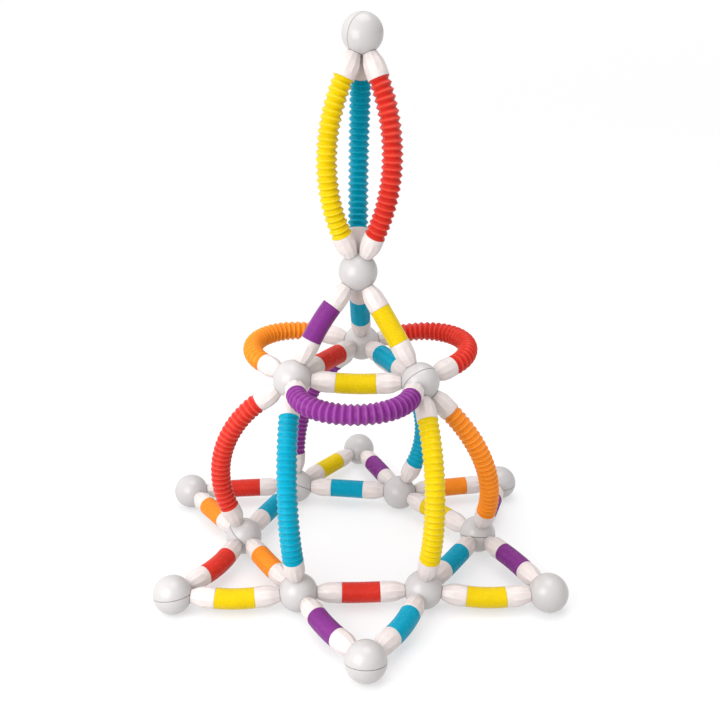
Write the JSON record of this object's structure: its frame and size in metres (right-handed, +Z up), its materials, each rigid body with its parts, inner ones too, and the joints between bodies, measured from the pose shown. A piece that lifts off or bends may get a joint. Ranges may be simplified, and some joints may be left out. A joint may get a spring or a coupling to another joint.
{
  "type": "magnetic ball and tube construction model",
  "caption": "Tower of steel-cored balls joined by bendable corrugated tubes with magnetic ends: star-shaped base, bowed legs, triangular crown with side loops, spindle and top ball.",
  "frame": {"origin": "on the table plane, under the middle of the box around the whole model", "axes": "+Z up the tower; +X to the right and +Y away when one star tip points at the viewer"},
  "size_m": [0.3508, 0.381, 0.4654],
  "materials": {
    "ball_shell_grey": "satin gloss moulded shell, light grey",
    "cap_cream": "satin moulded cap, warm white",
    "tube_red": "satin blow-moulded tube, red",
    "tube_orange": "satin blow-moulded tube, orange",
    "tube_yellow": "satin blow-moulded tube, yellow",
    "tube_teal": "satin blow-moulded tube, teal",
    "tube_purple": "satin blow-moulded tube, purple",
    "core_steel": "pressed steel, hidden inside the shells",
    "magnet_nickel": "nickel-plated magnet, hidden inside the caps"
  },
  "bodies": {
    "base": {"base_ball_shells": "ball_shell_grey", "base_ball_cores": "core_steel", "base_end_caps": "cap_cream", "base_magnets": "magnet_nickel", "base_tubes_orange": "tube_orange", "base_tubes_red": "tube_red", "base_tubes_teal": "tube_teal", "base_tubes_yellow": "tube_yellow", "leg_tube_left_red": "tube_red", "leg_tube_front_teal": "tube_teal", "leg_tube_front_yellow": "tube_yellow", "leg_tube_right_orange": "tube_orange", "leg_tube_back_purple": "tube_purple", "leg_tube_back_teal": "tube_teal"},
    "tip_1": {"tip_1_ball": "ball_shell_grey", "tip_1_end_caps": "cap_cream", "tip_1_tubes_purple": "tube_purple", "tip_1_tubes_teal": "tube_teal"},
    "tip_2": {"tip_2_ball": "ball_shell_grey", "tip_2_end_caps": "cap_cream", "tip_2_tubes_purple": "tube_purple", "tip_2_tubes_yellow": "tube_yellow"},
    "tip_3": {"tip_3_ball": "ball_shell_grey", "tip_3_end_caps": "cap_cream", "tip_3_tubes_orange": "tube_orange", "tip_3_tubes_purple": "tube_purple"},
    "tip_4": {"tip_4_ball": "ball_shell_grey", "tip_4_end_caps": "cap_cream", "tip_4_tubes_purple": "tube_purple", "tip_4_tubes_yellow": "tube_yellow"},
    "tip_5": {"tip_5_ball": "ball_shell_grey", "tip_5_end_caps": "cap_cream", "tip_5_tubes_orange": "tube_orange", "tip_5_tubes_red": "tube_red"},
    "tip_6": {"tip_6_ball": "ball_shell_grey", "tip_6_end_caps": "cap_cream", "tip_6_tubes_red": "tube_red", "tip_6_tubes_yellow": "tube_yellow"},
    "crown": {"crown_ball_shells": "ball_shell_grey", "crown_ball_cores": "core_steel", "crown_end_caps": "cap_cream", "crown_magnets": "magnet_nickel", "crown_tubes_purple": "tube_purple", "crown_tubes_red": "tube_red", "crown_tubes_teal": "tube_teal", "crown_tubes_yellow": "tube_yellow"},
    "loop_front": {"loop_front_tube": "tube_purple", "loop_front_end_caps": "cap_cream"},
    "loop_right": {"loop_right_tube": "tube_red", "loop_right_end_caps": "cap_cream"},
    "loop_left": {"loop_left_tube": "tube_orange", "loop_left_end_caps": "cap_cream"},
    "spindle": {"spindle_lower_caps": "cap_cream", "spindle_tube_red": "tube_red", "spindle_tube_teal": "tube_teal", "spindle_tube_yellow": "tube_yellow"},
    "spindle_top": {"spindle_upper_caps": "cap_cream"},
    "top_ball": {"top_ball_shells": "ball_shell_grey", "top_ball_core": "core_steel"}
  },
  "joints": [
    {"name": "tip_1_fold", "type": "hinge", "parent": "base", "child": "tip_1", "pos_m": [-0.04541, -0.08763, 0.016], "axis": [-0.9993, -0.0366, 0], "range_deg": [0, 40]},
    {"name": "tip_2_fold", "type": "hinge", "parent": "base", "child": "tip_2", "pos_m": [0.05702, -0.08388, 0.016], "axis": [-0.5344, -0.8453, 0], "range_deg": [0, 25]},
    {"name": "tip_3_fold", "type": "hinge", "parent": "base", "child": "tip_3", "pos_m": [0.11179, 0.00276, 0.016], "axis": [0.66, -0.7513, 0], "range_deg": [0, 30]},
    {"name": "tip_4_fold", "type": "hinge", "parent": "base", "child": "tip_4", "pos_m": [0.04414, 0.07977, 0.016], "axis": [0.9914, -0.1305, 0], "range_deg": [0, 45]},
    {"name": "tip_5_fold", "type": "hinge", "parent": "base", "child": "tip_5", "pos_m": [-0.05748, 0.09315, 0.016], "axis": [0.4079, 0.913, 0], "range_deg": [0, 45]},
    {"name": "tip_6_fold", "type": "hinge", "parent": "base", "child": "tip_6", "pos_m": [-0.0993, -0.00044, 0.016], "axis": [-0.5257, 0.8507, 0], "range_deg": [0, 45]},
    {"name": "crown_press", "type": "slide", "parent": "base", "child": "crown", "axis": [0, 0, 1], "range_m": [-0.025, 0], "deforming": ["leg_tube_left_red", "leg_tube_front_teal", "leg_tube_front_yellow", "leg_tube_right_orange", "leg_tube_back_purple", "leg_tube_back_teal"]},
    {"name": "loop_front_swing", "type": "hinge", "parent": "crown", "child": "loop_front", "pos_m": [-0.05035, -0.0262, 0.1794], "axis": [-0.9984, 0.0558, 0], "range_deg": [0, 58]},
    {"name": "loop_right_swing", "type": "hinge", "parent": "crown", "child": "loop_right", "pos_m": [0.05398, -0.03204, 0.1794], "axis": [0.4509, -0.8926, 0], "range_deg": [0, 58]},
    {"name": "loop_left_swing", "type": "hinge", "parent": "crown", "child": "loop_left", "pos_m": [0.00687, 0.06124, 0.1794], "axis": [0.5476, 0.8368, 0], "range_deg": [0, 58]},
    {"name": "spindle_turn", "type": "hinge", "parent": "crown", "child": "spindle", "pos_m": [0.0035, 0.001, 0.26309], "axis": [0.0166, 0, 0.9999], "continuous": true},
    {"name": "spindle_press", "type": "slide", "parent": "spindle", "child": "spindle_top", "axis": [0.0166, 0, 0.9999], "range_m": [-0.04, 0], "deforming": ["spindle_tube_red", "spindle_tube_teal", "spindle_tube_yellow"]},
    {"name": "top_ball_spin", "type": "hinge", "parent": "spindle_top", "child": "top_ball", "pos_m": [0.00659, 0.001, 0.44937], "axis": [0.0166, 0, 0.9999], "continuous": true}
  ]
}
